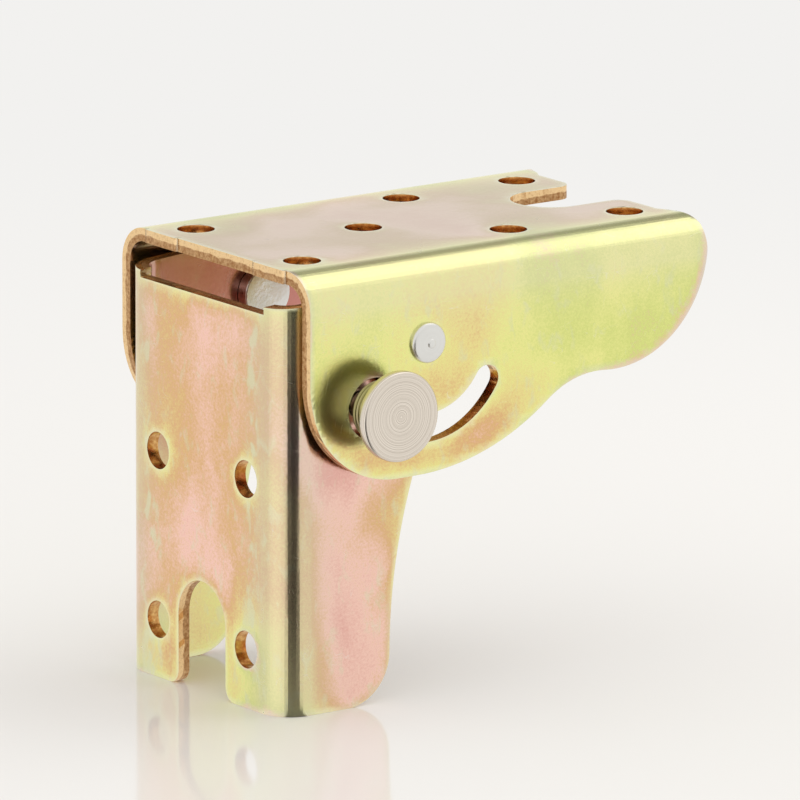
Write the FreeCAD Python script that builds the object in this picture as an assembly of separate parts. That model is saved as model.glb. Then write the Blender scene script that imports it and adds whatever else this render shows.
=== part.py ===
import FreeCAD, Part
import math
import os

# Folding table leg bracket: two folded steel channels that turn on a pair of rivets, with a
# spring-loaded pull pin that runs in arc slots of the top channel's cheeks.
# Millimetres, +Z up. The top face of the top channel is Z = 0, and the origin is the middle
# of its four corner screw holes. Along X, sizes below are taken from the top channel's leg end.

# Sheet metal
sheet = 2.0
top_bend_radius = 5.5
leg_bend_radius = 5.0
screw_hole = 5.5

# Top channel
top_length = 71.85
top_width = 47.0
cheek_depth = 31.5
lobe_radius = 15.75
belly_flat = 3.25
belly_radius = 39.0
waist_radius = 14.7
tail_radius = 17.1
tail_drop = 3.4
screw_near_x = 6.2
screw_middle_setback = 28.75
screw_far_setback = 7.55
screw_row_y = 13.2
centre_hole_x = 26.65
web_end_setback = 2.55
notch_width = 11.8
notch_depth = 14.6
ear_corner_radius = 2.4
ear_half_width = 14.4
relief_step = 0.9
relief_width = 1.6

# Leg channel
side_gap = 1.5
leg_face_proud = 2.2
leg_length = 65.5
leg_top_drop = 5.4
leg_foot_depth = 19.2
leg_foot_radius = 7.5
leg_head_radius = 8.5
leg_screw_row_y = 11.0
leg_screw_upper_drop = 31.5
leg_screw_lower_rise = 8.7
leg_notch_width = 11.8
leg_notch_height = 16.6
leg_notch_corner = 2.2
leg_web_step = 1.1
leg_web_step_margin = 0.4

# Pivot rivets and their spacers
pivot_x = 21.0
pivot_drop = 12.1
rivet_shank = 4.5
rivet_formed_head = 6.0
rivet_button_height = 1.0
rivet_button_edge = 0.4
button_edge_flats = 2
rivet_button_crown = 0.1
rivet_pip = 1.4
rivet_pip_height = 0.2
rivet_flat_head = 8.0
rivet_flat_height = 2.0
rivet_edge = 0.25
spacer_diameter = 9.6
turning_clearance = 0.1

# Lock pin, its arc slots and its spring
pin_orbit_radius = 12.65
pin_rest_angle = -137.5
fold_limit = 104.0
fold_margin = 1.0
pin_shaft = 3.9
slot_clearance = 0.25
guide_clearance = 0.2
pin_barrel = 8.7
keyhole_clearance = 0.5
barrel_clearance = 0.3
barrel_length = 4.7
knob_diameter = 13.2
knob_height = 1.6
knob_edge = 0.45
knob_dish = 0.15
pin_tail_stand_out = 0.5
pin_tail_chamfer = 0.5
clip_from_centre = 2.0
clip_thickness = 0.8
clip_diameter = 7.6
clip_groove = 2.9
clip_mouth = 2.5
washer_diameter = 8.4
washer_thickness = 0.8
spring_wire = 0.8
spring_diameter = 6.4
spring_turns = 4.0
spring_wire_sides = 5

# Sizes and places that follow from the ones above
V = FreeCAD.Vector
screw_middle_x = top_length - screw_middle_setback
screw_far_x = top_length - screw_far_setback
origin_x = (screw_near_x + screw_far_x) / 2.0
half_top = top_width / 2.0
leg_width = top_width - 2.0 * (sheet + side_gap)
half_leg = leg_width / 2.0
web_end = top_length - web_end_setback
pivot = V(pivot_x, 0.0, -pivot_drop)
leg_face_x = -leg_face_proud
leg_foot_x = leg_face_x + leg_foot_depth
leg_screw_lower_drop = leg_length - leg_screw_lower_rise
spacer_thickness = side_gap - turning_clearance
slot_width = pin_shaft + slot_clearance
guide_hole = pin_shaft + guide_clearance
keyhole = pin_barrel + keyhole_clearance
leg_inner_face = half_leg - sheet
cut_margin = 5.0
# How far a finished edge is from the point that picks it
edge_tolerance = 0.05


def on_orbit(radius, angle_deg, y):
    """Point at a radius and angle about the pivot axis; angle 0 points along +X, 90 up."""
    angle = math.radians(angle_deg)
    return V(pivot.x + radius * math.cos(angle), y, pivot.z + radius * math.sin(angle))


def arc(start, middle, end):
    """Edge of a circular arc through three points."""
    return Part.Arc(start, middle, end).toShape()


def line(start, end):
    """Straight edge between two points."""
    return Part.LineSegment(start, end).toShape()


def arc_about(centre, start, end):
    """Edge of the shorter arc about a centre in an XZ plane, from start to end."""
    radius = start.sub(centre).Length
    middle = start.sub(centre).add(end.sub(centre))
    middle.normalize()
    return arc(start, centre.add(middle.multiply(radius)), end)


def prism(edges, direction):
    """Solid swept along a direction from the face inside a closed run of edges."""
    return Part.Face(Part.Wire(Part.__sortEdges__(edges))).extrude(direction)


def rod(radius, start, end):
    """Solid cylinder between two points."""
    axis = end.sub(start)
    return Part.makeCylinder(radius, axis.Length, start, axis)


def channel_section(half_width, depth, bend):
    """Edges of a folded U in the plane of u and v: web along v = 0, legs towards -v.

    Returns:
        Pairs and triples of (u, v) points: two points make a line, three an arc.
    """
    inner = bend - sheet
    slant = math.sqrt(0.5)
    u0 = half_width
    u1 = half_width - sheet
    c = half_width - bend
    return [
        [(-u0, -depth), (-u0, -bend)],
        [(-u0, -bend), (-c - bend * slant, -bend + bend * slant), (-c, 0.0)],
        [(-c, 0.0), (c, 0.0)],
        [(c, 0.0), (c + bend * slant, -bend + bend * slant), (u0, -bend)],
        [(u0, -bend), (u0, -depth)],
        [(u0, -depth), (u1, -depth)],
        [(u1, -depth), (u1, -bend)],
        [(u1, -bend), (c + inner * slant, -bend + inner * slant), (c, -sheet)],
        [(c, -sheet), (-c, -sheet)],
        [(-c, -sheet), (-c - inner * slant, -bend + inner * slant), (-u1, -bend)],
        [(-u1, -bend), (-u1, -depth)],
        [(-u1, -depth), (-u0, -depth)],
    ]


def section_edges(section, place):
    """Edges of a section, with each (u, v) put in space by place."""
    edges = []
    for points in section:
        placed = [place(u, v) for u, v in points]
        edges.append(line(*placed) if len(placed) == 2 else arc(*placed))
    return edges


def circle_meeting(first, first_reach, second, second_reach):
    """Lower of the two points at given distances from two points of an XZ plane."""
    span = second.sub(first)
    distance = span.Length
    along = (first_reach ** 2 - second_reach ** 2 + distance ** 2) / (2.0 * distance)
    across = math.sqrt(first_reach ** 2 - along ** 2)
    unit = V(span).multiply(1.0 / distance)
    normal = V(unit.z, 0.0, -unit.x)
    return first.add(V(unit).multiply(along)).add(V(normal).multiply(across))


def touching_point(centre, other, radius):
    """Point of a circle that faces another centre."""
    towards = other.sub(centre)
    towards.normalize()
    return centre.add(towards.multiply(radius))


def arc_slot(start_deg, end_deg, y_from, y_to):
    """Slot cutter along the pin's orbit, with round ends, through a cheek."""
    half = slot_width / 2.0
    outer = pin_orbit_radius + half
    inner = pin_orbit_radius - half
    middle = (start_deg + end_deg) / 2.0
    reach = math.degrees(half / pin_orbit_radius)
    edges = [
        arc(on_orbit(outer, start_deg, y_from), on_orbit(outer, middle, y_from),
            on_orbit(outer, end_deg, y_from)),
        arc(on_orbit(outer, end_deg, y_from), on_orbit(pin_orbit_radius, end_deg + reach, y_from),
            on_orbit(inner, end_deg, y_from)),
        arc(on_orbit(inner, end_deg, y_from), on_orbit(inner, middle, y_from),
            on_orbit(inner, start_deg, y_from)),
        arc(on_orbit(inner, start_deg, y_from), on_orbit(pin_orbit_radius, start_deg - reach, y_from),
            on_orbit(outer, start_deg, y_from)),
    ]
    return prism(edges, V(0.0, y_to - y_from, 0.0))


def fillet_edges(shape, radius, picks):
    """Rounds the straight edges whose middles lie at the picked points."""
    chosen = []
    for edge in shape.Edges:
        middle = edge.valueAt((edge.FirstParameter + edge.LastParameter) / 2.0)
        if any(middle.sub(pick).Length < edge_tolerance for pick in picks):
            chosen.append(edge)
    return shape.makeFillet(radius, chosen)


def cheek_outline():
    """Edges of the top channel's cheek, seen from the side: lobe, belly, waist and tail."""
    y = -half_top - cut_margin
    lobe = V(lobe_radius, y, lobe_radius - cheek_depth)
    belly = V(lobe_radius + belly_flat, y, belly_radius - cheek_depth)
    tail = V(top_length - tail_radius, y, -tail_drop)
    waist = circle_meeting(belly, belly_radius + waist_radius, tail, tail_radius + waist_radius)
    lobe_start = V(0.0, y, lobe.z)
    lobe_end = V(lobe.x, y, -cheek_depth)
    belly_start = V(belly.x, y, -cheek_depth)
    belly_end = touching_point(belly, waist, belly_radius)
    waist_end = touching_point(tail, waist, tail_radius)
    tail_end = V(top_length, y, -tail_drop)
    top_far = V(top_length, y, cut_margin)
    top_near = V(0.0, y, cut_margin)
    return [
        arc_about(lobe, lobe_start, lobe_end),
        line(lobe_end, belly_start),
        arc_about(belly, belly_start, belly_end),
        arc_about(waist, belly_end, waist_end),
        arc_about(tail, waist_end, tail_end),
        line(tail_end, top_far),
        line(top_far, top_near),
        line(top_near, lobe_start),
    ]


def web_end_cutter():
    """Cutter that shortens the web between its bends, with a small relief step by each bend."""
    z = cut_margin
    far = top_length + cut_margin
    step_y = ear_half_width + relief_width
    bend_y = half_top - sheet
    side = [(web_end, ear_half_width), (web_end + relief_step, step_y), (top_length, bend_y), (far, bend_y)]
    points = [V(x, y, z) for x, y in side] + [V(x, -y, z) for x, y in reversed(side)]
    edges = [line(a, b) for a, b in zip(points, points[1:] + points[:1])]
    return prism(edges, V(0.0, 0.0, -cut_margin - sheet))


def make_top_bracket():
    """Top channel: folded web and cheeks with screw holes, notch, pivot holes and arc slots."""
    section = channel_section(half_top, cheek_depth, top_bend_radius)
    body = prism(section_edges(section, lambda u, v: V(0.0, u, v)), V(top_length, 0.0, 0.0))
    body = body.common(prism(cheek_outline(), V(0.0, top_width + 2.0 * cut_margin, 0.0)))
    body = body.cut(web_end_cutter())

    notch_radius = notch_width / 2.0
    notch_centre = web_end - notch_depth + notch_radius
    mouth = Part.makeBox(notch_depth + cut_margin, notch_width, sheet + 2.0 * cut_margin,
                         V(notch_centre, -notch_radius, -sheet - cut_margin))
    body = body.cut(mouth.fuse(rod(notch_radius, V(notch_centre, 0.0, -sheet - cut_margin),
                                   V(notch_centre, 0.0, cut_margin))))
    body = fillet_edges(body, ear_corner_radius,
                        [V(web_end, side * notch_radius, -sheet / 2.0) for side in (-1, 1)])

    spots = [(x, side * screw_row_y) for x in (screw_near_x, screw_middle_x, screw_far_x) for side in (-1, 1)]
    spots.append((centre_hole_x, 0.0))
    for x, y in spots:
        body = body.cut(rod(screw_hole / 2.0, V(x, y, -sheet - cut_margin), V(x, y, cut_margin)))

    body = body.cut(rod(rivet_shank / 2.0, V(pivot.x, -half_top - cut_margin, pivot.z),
                        V(pivot.x, half_top + cut_margin, pivot.z)))
    slot_end = pin_rest_angle + fold_limit + fold_margin
    outside = half_top + cut_margin
    inside = half_top - sheet - side_gap / 2.0
    body = body.cut(arc_slot(pin_rest_angle, slot_end, -outside, -inside))
    body = body.cut(arc_slot(pin_rest_angle, slot_end, inside, outside))
    return body.cut(rod(keyhole / 2.0, on_orbit(pin_orbit_radius, pin_rest_angle, -outside),
                        on_orbit(pin_orbit_radius, pin_rest_angle, -inside)))


def leg_outline():
    """Edges of the leg channel's cheek, seen from the side: foot, hollow back edge and round head."""
    y = -half_leg - cut_margin
    head = V(pivot.x, y, pivot.z)
    top_corner = V(leg_face_x, y, -leg_top_drop)
    foot_corner = V(leg_face_x, y, -leg_length)
    foot_end = V(leg_foot_x - leg_foot_radius, y, -leg_length)
    foot_centre = V(foot_end.x, y, -leg_length + leg_foot_radius)
    back_start = V(leg_foot_x, y, foot_centre.z)
    # The hollow back edge leaves the foot upright and meets the round head without a corner.
    reach_x = head.x - leg_foot_x
    reach_z = head.z - back_start.z
    back_radius = (reach_x ** 2 + reach_z ** 2 - leg_head_radius ** 2) / (2.0 * (leg_head_radius + reach_x))
    back_centre = V(leg_foot_x + back_radius, y, back_start.z)
    back_end = touching_point(head, back_centre, leg_head_radius)
    # The top edge runs from the web to the head as a tangent.
    to_head = head.sub(top_corner)
    slope = math.atan2(to_head.z, to_head.x) + math.asin(leg_head_radius / to_head.Length)
    head_start = head.add(V(-math.sin(slope), 0.0, math.cos(slope)).multiply(leg_head_radius))
    head_far = V(head.x + leg_head_radius, y, head.z)
    return [
        line(top_corner, foot_corner),
        line(foot_corner, foot_end),
        arc_about(foot_centre, foot_end, back_start),
        arc_about(back_centre, back_start, back_end),
        arc_about(head, back_end, head_far),
        arc_about(head, head_far, head_start),
        line(head_start, top_corner),
    ]


def make_leg_bracket():
    """Leg channel: folded web and cheeks with screw holes, foot notch, pivot and guide holes."""
    depth = pivot.x + leg_head_radius - leg_face_x
    section = channel_section(half_leg, depth, leg_bend_radius)
    place = lambda u, v: V(leg_face_x - v, u, -leg_length)
    body = prism(section_edges(section, place), V(0.0, 0.0, leg_length))
    body = body.common(prism(leg_outline(), V(0.0, leg_width + 2.0 * cut_margin, 0.0)))

    flat = half_leg - leg_bend_radius + leg_web_step_margin
    body = body.cut(Part.makeBox(sheet + 2.0 * cut_margin, 2.0 * flat, cut_margin + leg_web_step,
                                 V(leg_face_x - cut_margin, -flat, -leg_top_drop - leg_web_step)))
    web_outside = leg_face_x - cut_margin
    web_inside = leg_face_x + sheet + cut_margin
    notch_radius = leg_notch_width / 2.0
    notch_centre = -leg_length + leg_notch_height - notch_radius
    mouth = Part.makeBox(web_inside - web_outside, leg_notch_width, leg_notch_height - notch_radius + cut_margin,
                         V(web_outside, -notch_radius, -leg_length - cut_margin))
    body = body.cut(mouth.fuse(rod(notch_radius, V(web_outside, 0.0, notch_centre),
                                   V(web_inside, 0.0, notch_centre))))
    body = fillet_edges(body, leg_notch_corner,
                        [V(leg_face_x + sheet / 2.0, side * notch_radius, -leg_length) for side in (-1, 1)])

    for drop in (leg_screw_upper_drop, leg_screw_lower_drop):
        for side in (-1, 1):
            y = side * leg_screw_row_y
            body = body.cut(rod(screw_hole / 2.0, V(web_outside, y, -drop), V(web_inside, y, -drop)))

    across = half_leg + cut_margin
    turning_hole = rivet_shank + 2.0 * turning_clearance
    body = body.cut(rod(turning_hole / 2.0, V(pivot.x, -across, pivot.z), V(pivot.x, across, pivot.z)))
    return body.cut(rod(guide_hole / 2.0, on_orbit(pin_orbit_radius, pin_rest_angle, -across),
                        on_orbit(pin_orbit_radius, pin_rest_angle, across)))


def turned(profile, axis_point, side):
    """Solid of revolution about an axis along Y.

    Args:
        profile: (radius, distance) points, the distance measured from Y = 0 towards the side.
        axis_point: any point of the axis.
        side: -1 for the knob's side, 1 for the far side.
    """
    points = [V(axis_point.x + radius, side * distance, axis_point.z) for radius, distance in profile]
    face = Part.Face(Part.makePolygon(points + points[:1]))
    return face.revolve(V(axis_point.x, 0.0, axis_point.z), V(0.0, 1.0, 0.0), 360.0)


def make_rivet(side):
    """Pivot rivet: flat head inside the leg channel, shank, and formed button with a pip outside."""
    shank = rivet_shank / 2.0
    flat = rivet_flat_head / 2.0
    seat = leg_inner_face - turning_clearance
    head_inner = seat - rivet_flat_height
    formed = rivet_formed_head / 2.0
    pip = rivet_pip / 2.0
    shoulder = half_top + rivet_button_height - rivet_button_edge
    crown = half_top + rivet_button_height + rivet_button_crown
    profile = [(0.0, head_inner), (flat - rivet_edge, head_inner), (flat, head_inner + rivet_edge),
               (flat, seat), (shank, seat), (shank, half_top), (formed, half_top)]
    # The formed edge is rounded in two flats, as struck by the riveting tool.
    for step in range(button_edge_flats + 1):
        turn = math.pi / 2.0 * step / button_edge_flats
        profile.append((formed - rivet_button_edge * (1.0 - math.cos(turn)),
                        shoulder + rivet_button_edge * math.sin(turn)))
    profile += [(pip, crown), (pip / 2.0, crown + rivet_pip_height), (0.0, crown + rivet_pip_height)]
    return turned(profile, pivot, side)


def make_spacer(side):
    """Flat ring on the rivet that keeps the leg's cheek off the top channel's cheek."""
    outer = half_top - sheet
    inner = outer - spacer_thickness
    shank = rivet_shank / 2.0
    ring = spacer_diameter / 2.0
    return turned([(shank, inner), (ring, inner), (ring, outer), (shank, outer)], pivot, side)


pin_axis = on_orbit(pin_orbit_radius, pin_rest_angle, 0.0)
clip_outer = clip_from_centre + clip_thickness
washer_outer = clip_outer + washer_thickness


def make_lock_pin():
    """Pull pin turned in one piece: knob, barrel, shaft with a clip groove, and far-side tail."""
    shaft = pin_shaft / 2.0
    groove = clip_groove / 2.0
    tail = -half_top - pin_tail_stand_out
    barrel_start = half_top + barrel_clearance
    knob_start = barrel_start + barrel_length
    knob_face = knob_start + knob_height
    knob = knob_diameter / 2.0
    return turned([
        (0.0, tail), (shaft - pin_tail_chamfer, tail), (shaft, tail + pin_tail_chamfer),
        (shaft, clip_from_centre), (groove, clip_from_centre), (groove, clip_outer), (shaft, clip_outer),
        (shaft, barrel_start), (pin_barrel / 2.0 - knob_edge, barrel_start),
        (pin_barrel / 2.0, barrel_start + knob_edge), (pin_barrel / 2.0, knob_start),
        (knob - knob_edge, knob_start), (knob, knob_start + knob_edge), (knob, knob_face - knob_edge),
        (knob - knob_edge, knob_face), (0.0, knob_face - knob_dish)], pin_axis, -1)


def make_spring_washer():
    """Flat washer between the spring and its retaining clip."""
    bore = guide_hole / 2.0
    rim = washer_diameter / 2.0
    return turned([(bore, clip_outer), (rim, clip_outer), (rim, washer_outer), (bore, washer_outer)], pin_axis, -1)


def make_retaining_clip():
    """Snap ring in the pin's groove, with an open mouth that faces down."""
    bore = clip_groove / 2.0
    rim = clip_diameter / 2.0
    ring = turned([(bore, clip_from_centre), (rim, clip_from_centre), (rim, clip_outer), (bore, clip_outer)],
                  pin_axis, -1)
    mouth = Part.makeBox(clip_mouth, clip_thickness + 2.0 * cut_margin, rim + cut_margin,
                         V(pin_axis.x - clip_mouth / 2.0, -clip_outer - cut_margin, pin_axis.z - rim - cut_margin))
    return ring.cut(mouth)


def make_lock_spring():
    """Compression spring on the pin, between the washer and the leg's cheek, of many-sided wire."""
    wire = spring_wire / 2.0
    coil = spring_diameter / 2.0 - wire
    length = leg_inner_face - washer_outer - spring_wire
    helix = Part.makeHelix(length / spring_turns, length, coil)
    turns = [2.0 * math.pi * step / spring_wire_sides for step in range(spring_wire_sides + 1)]
    start = Part.makePolygon([V(coil + wire * math.cos(turn), 0.0, wire * math.sin(turn)) for turn in turns])
    spring = Part.Wire(helix.Edges).makePipeShell([start], True, True)
    # The helix climbs along its own Z, which is turned to point at the knob.
    spring.rotate(V(0.0, 0.0, 0.0), V(1.0, 0.0, 0.0), 90.0)
    spring.translate(V(pin_axis.x, -washer_outer - wire, pin_axis.z))
    return spring


def build():
    """Every piece by its node name, in the working frame."""
    return {
        "top_bracket": make_top_bracket(),
        "leg_bracket": make_leg_bracket(),
        "knob_side_rivet": make_rivet(-1),
        "far_side_rivet": make_rivet(1),
        "knob_side_spacer": make_spacer(-1),
        "far_side_spacer": make_spacer(1),
        "lock_pin": make_lock_pin(),
        "lock_spring": make_lock_spring(),
        "spring_washer": make_spring_washer(),
        "retaining_clip": make_retaining_clip(),
    }


os.makedirs("parts", exist_ok=True)
for node, shape in build().items():
    shape.translate(V(-origin_x, 0.0, 0.0))
    shape.exportStep("parts/" + node + ".step")
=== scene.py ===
import logging
import math
from dataclasses import dataclass
from enum import Enum
from typing import Optional, Sequence

import bmesh
import bpy
import numpy as np
from bmesh.types import BMEdge, BMesh
from bpy.types import ColorRamp, GeometryNodeTree, ID, Material, Mesh, Node, NodeSocket, NodeTree, Object
from mathutils import Matrix, Vector
from mathutils.bvhtree import BVHTree
from mathutils.kdtree import KDTree


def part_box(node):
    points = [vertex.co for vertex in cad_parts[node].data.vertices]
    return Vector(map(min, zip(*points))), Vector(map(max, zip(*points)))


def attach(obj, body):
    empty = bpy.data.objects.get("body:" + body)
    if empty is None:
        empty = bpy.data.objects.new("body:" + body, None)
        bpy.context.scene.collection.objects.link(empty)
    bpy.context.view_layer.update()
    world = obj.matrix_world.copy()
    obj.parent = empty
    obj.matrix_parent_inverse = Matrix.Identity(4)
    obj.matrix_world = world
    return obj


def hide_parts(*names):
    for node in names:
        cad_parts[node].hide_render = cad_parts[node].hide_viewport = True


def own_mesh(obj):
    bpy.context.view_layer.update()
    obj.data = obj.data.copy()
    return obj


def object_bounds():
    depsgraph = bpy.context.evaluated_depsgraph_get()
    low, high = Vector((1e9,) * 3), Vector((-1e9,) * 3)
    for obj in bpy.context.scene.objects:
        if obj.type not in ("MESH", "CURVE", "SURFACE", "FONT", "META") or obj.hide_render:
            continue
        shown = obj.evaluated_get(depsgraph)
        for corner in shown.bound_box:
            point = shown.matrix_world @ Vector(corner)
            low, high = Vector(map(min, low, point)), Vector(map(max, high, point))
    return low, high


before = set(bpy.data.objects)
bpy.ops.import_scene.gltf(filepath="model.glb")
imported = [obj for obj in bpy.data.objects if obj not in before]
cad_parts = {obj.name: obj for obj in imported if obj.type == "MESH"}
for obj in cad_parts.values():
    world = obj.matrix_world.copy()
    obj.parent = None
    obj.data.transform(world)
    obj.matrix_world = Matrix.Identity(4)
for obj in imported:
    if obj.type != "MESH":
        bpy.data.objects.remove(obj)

CAD_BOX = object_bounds()
LOG = logging.getLogger("leg_bracket")

MM = 0.001
PHOTO_SIDE_PX = 800.0
SENSOR_MM = 36.0
LEG_BEND_MM = 5.0
# Nearly all values of a noise texture lie between these two.
NOISE_LOW = 0.3
NOISE_HIGH = 0.7

Colour = tuple[float, float, float, float]
Point = tuple[float, float, float]
Outline = list[tuple[float, float]]


def linear(hex_colour: str) -> Colour:
    """Turns an sRGB hex colour into linear RGBA.

    Args:
        hex_colour: six hex digits, such as "DDE27C".

    Returns:
        Linear red, green and blue, with alpha 1.
    """
    channels = []
    for start in (0, 2, 4):
        value = int(hex_colour[start:start + 2], 16) / 255.0
        channels.append(value / 12.92 if value <= 0.04045 else ((value + 0.055) / 1.055) ** 2.4)
    return (channels[0], channels[1], channels[2], 1.0)


class Graph:
    """A shader or geometry node tree with one small way to add nodes."""

    def __init__(self, tree: NodeTree) -> None:
        """Starts from an emptied tree.

        Args:
            tree: the tree to fill.
        """
        self.tree = tree
        tree.nodes.clear()

    def add(self, kind: str, inputs: Optional[dict] = None, **settings: object) -> Node:
        """Adds a node with its settings, and sets or links its inputs.

        Args:
            kind: the node's type name.
            inputs: socket name or index to a value, an output socket, or a node for its first output.
            settings: attributes of the node itself.

        Returns:
            The new node.
        """
        node = self.tree.nodes.new(kind)
        for name, value in settings.items():
            setattr(node, name, value)
        for name, value in (inputs or {}).items():
            if isinstance(value, Node):
                value = value.outputs[0]
            if isinstance(value, NodeSocket):
                self.tree.links.new(value, node.inputs[name])
            else:
                node.inputs[name].default_value = value
        return node


def new_material(name: str) -> tuple[Material, Graph]:
    """Starts a material with an empty graph.

    Args:
        name: the material's name.

    Returns:
        The material and its graph.
    """
    material = bpy.data.materials.new(name)
    material.use_nodes = True
    return material, Graph(material.node_tree)


def fill_ramp(ramp: ColorRamp, stops: Sequence[tuple[float, str]]) -> None:
    """Sets a colour ramp's stops.

    Args:
        ramp: the ramp to fill.
        stops: places and hex colours, in rising order.
    """
    while len(ramp.elements) < len(stops):
        ramp.elements.new(1.0)
    for element, (where, colour) in zip(ramp.elements, stops):
        element.position = where
        element.color = linear(colour)


class Skin(Enum):
    """Which finish a face of a folded sheet has."""

    PLATED = 0
    CUT = 1
    HOLE = 2


@dataclass(frozen=True)
class FilmStop:
    """One colour of the chromate film, at a place along its run of colours."""

    place: float
    colour: str


# A chromate film changes colour with its thickness, as a soap film does: pink where it is thin,
# through amber, yellow-green and green to a second, paler round of pink and green.
FILM_COLOURS = (
    FilmStop(0.00, "E6AAA0"),
    FilmStop(0.15, "F8CCBC"),
    FilmStop(0.30, "E0B480"),
    FilmStop(0.45, "EBDA92"),
    FilmStop(0.60, "ECEB96"),
    FilmStop(0.74, "D8DF86"),
    FilmStop(0.88, "E6C7A0"),
    FilmStop(1.00, "DCC4B3"),
    FilmStop(1.18, "D5CBA8"),
    FilmStop(1.34, "CFD398"),
    FilmStop(1.50, "C2CDA2"),
)


@dataclass(frozen=True)
class PlatedSheet:
    """Steel sheet with bright zinc plate and a yellow chromate film.

    It gives the eye a satin metal whose colour drifts in soft clouds and streaks from pink to
    yellow-green, turns orange in a fringe along every cut edge, and shows pale run-off and scratches.
    """

    name: str = "yellow_chromate_zinc_plate"
    cloud_mm: float = 19.0
    patch_mm: float = 4.0
    smear_mm: float = 1.9
    grain_mm: float = 0.40
    scratch_mm: float = 6.0
    wave_mm: float = 0.9
    noise_roughness: float = 0.55
    cloud_shift: Point = (0.052, 0.034, 0.008)
    cloud_stretch: Point = (1.0, 1.0, 0.55)
    smear_stretch: Point = (1.0, 1.0, 0.5)
    cloud_share: float = 0.23
    patch_share: float = 0.045
    grain_share: float = 0.06
    fringe_share: float = 0.28
    smear_on_upright: float = 0.42
    smear_on_level: float = 0.08
    smear_from: float = 0.56
    smear_full: float = 0.70
    run_off_from: float = 0.42
    run_off_full: float = 0.58
    run_off_spread: float = 0.17
    run_off_share: float = 0.3
    scratch_from: float = 0.54
    scratch_full: float = 0.62
    scratch_share: float = 0.3
    scratch_roughness: float = 0.3
    wave_height_mm: float = 0.012
    grain_height_mm: float = 0.05
    grain_strength: float = 0.10
    bleached: str = "C9BEA8"
    smeared: str = "DADCB8"
    # Near white of worn film; on the bends it also makes a painted highlight.
    worn: str = "F2EDE2"
    # Painted shade: the dark red that darkens the insides where the other channel shades them.
    painted_inside_shade: str = "9E4A40"
    roughness_low: float = 0.17
    roughness_high: float = 0.27

    def make(self) -> Material:
        """Builds the material's nodes.

        Returns:
            The finished material.
        """
        material, graph = new_material(self.name)
        around = graph.add("ShaderNodeTexCoord").outputs
        noises = self.noises(graph, around["Object"])
        # The edge wear map also carries a painted highlight along the bends.
        maps = {name: graph.add("ShaderNodeAttribute", attribute_name=name).outputs["Fac"]
                for name in ("film_tone", "edge_fringe", "film_pale", "run_off", "worn_and_bend_sheen", "painted_inside_shade")}
        tint = self.film(graph, noises, maps)
        smears = self.smears(graph, noises, maps["run_off"], around["Normal"])
        scratches = self.scratches(graph, around["Object"])
        # The last of these mixes is painted shade on the insides, where the other channel shades them.
        for amount, colour in ((maps["film_pale"], self.bleached), (smears, self.smeared),
                               (scratches, self.worn), (maps["worn_and_bend_sheen"], self.worn),
                               (maps["painted_inside_shade"], self.painted_inside_shade)):
            mix = graph.add("ShaderNodeMix", {0: amount, 6: tint, 7: linear(colour)}, data_type="RGBA")
            tint = mix.outputs[2]
        satin = graph.add("ShaderNodeMapRange", {
            "Value": noises["clouds"], "From Min": NOISE_LOW, "From Max": NOISE_HIGH,
            "To Min": self.roughness_low, "To Max": self.roughness_high})
        roughness = graph.add("ShaderNodeMath", {0: scratches, 1: self.scratch_roughness, 2: satin},
                              operation="MULTIPLY_ADD")
        rolled = graph.add("ShaderNodeBump", {
            "Strength": 1.0, "Distance": self.wave_height_mm * MM, "Height": noises["waves"]})
        bump = graph.add("ShaderNodeBump", {
            "Strength": self.grain_strength, "Distance": self.grain_height_mm * MM,
            "Height": noises["grain"], "Normal": rolled})
        shader = graph.add("ShaderNodeBsdfPrincipled", {
            "Base Color": tint, "Metallic": 1.0, "Roughness": roughness, "Normal": bump})
        graph.add("ShaderNodeOutputMaterial", {"Surface": shader})
        return material

    def noises(self, graph: Graph, place: NodeSocket) -> dict[str, Node]:
        """The noise textures that the film, its smears and its relief are made of.

        Args:
            graph: the material's graph.
            place: Object coordinates.

        Returns:
            The textures by name.
        """
        drawn = graph.add("ShaderNodeMapping", {
            "Vector": place, "Scale": self.cloud_stretch, "Location": self.cloud_shift})
        run_down = graph.add("ShaderNodeMapping", {"Vector": place, "Scale": self.smear_stretch})
        noises = {}
        for name, where, size_mm, detail, distortion in (
                ("clouds", drawn, self.cloud_mm, 1.0, 0.4), ("patches", drawn, self.patch_mm, 2.0, 0.4),
                ("grain", place, self.grain_mm, 2.0, 0.0), ("waves", place, self.wave_mm, 1.0, 0.0),
                ("streaks", run_down, self.smear_mm, 6.0, 0.5)):
            noises[name] = graph.add("ShaderNodeTexNoise", {
                "Vector": where, "Scale": 1.0 / (size_mm * MM), "Detail": detail,
                "Roughness": self.noise_roughness, "Distortion": distortion})
        return noises

    def film(self, graph: Graph, noises: dict[str, Node],
             maps: dict[str, NodeSocket]) -> Node:
        """The film's colour, from its mapped tone, its clouds and the fringe along cut edges.

        Args:
            graph: the material's graph.
            noises: the noise textures by name.
            maps: the sheet's stored maps by name.

        Returns:
            The colour ramp's node.
        """
        film = maps["film_tone"]
        for name, share in (("clouds", self.cloud_share), ("patches", self.patch_share),
                            ("grain", self.grain_share)):
            drift = graph.add("ShaderNodeMapRange", {
                "Value": noises[name], "From Min": 0.25, "From Max": 0.75, "To Min": -share, "To Max": share})
            film = graph.add("ShaderNodeMath", {0: film, 1: drift}, operation="ADD")
        fringe = graph.add("ShaderNodeMapRange", {
            "Value": noises["patches"], "From Min": NOISE_LOW, "From Max": NOISE_HIGH,
            "To Min": 0.7 * self.fringe_share, "To Max": 1.3 * self.fringe_share})
        film = graph.add("ShaderNodeMath", {0: maps["edge_fringe"], 1: fringe, 2: film},
                         operation="MULTIPLY_ADD")
        last = FILM_COLOURS[-1].place
        along = graph.add("ShaderNodeMath", {0: film, 1: last}, operation="DIVIDE")
        tint = graph.add("ShaderNodeValToRGB", {"Fac": along})
        fill_ramp(tint.color_ramp, [(stop.place / last, stop.colour) for stop in FILM_COLOURS])
        return tint

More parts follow.
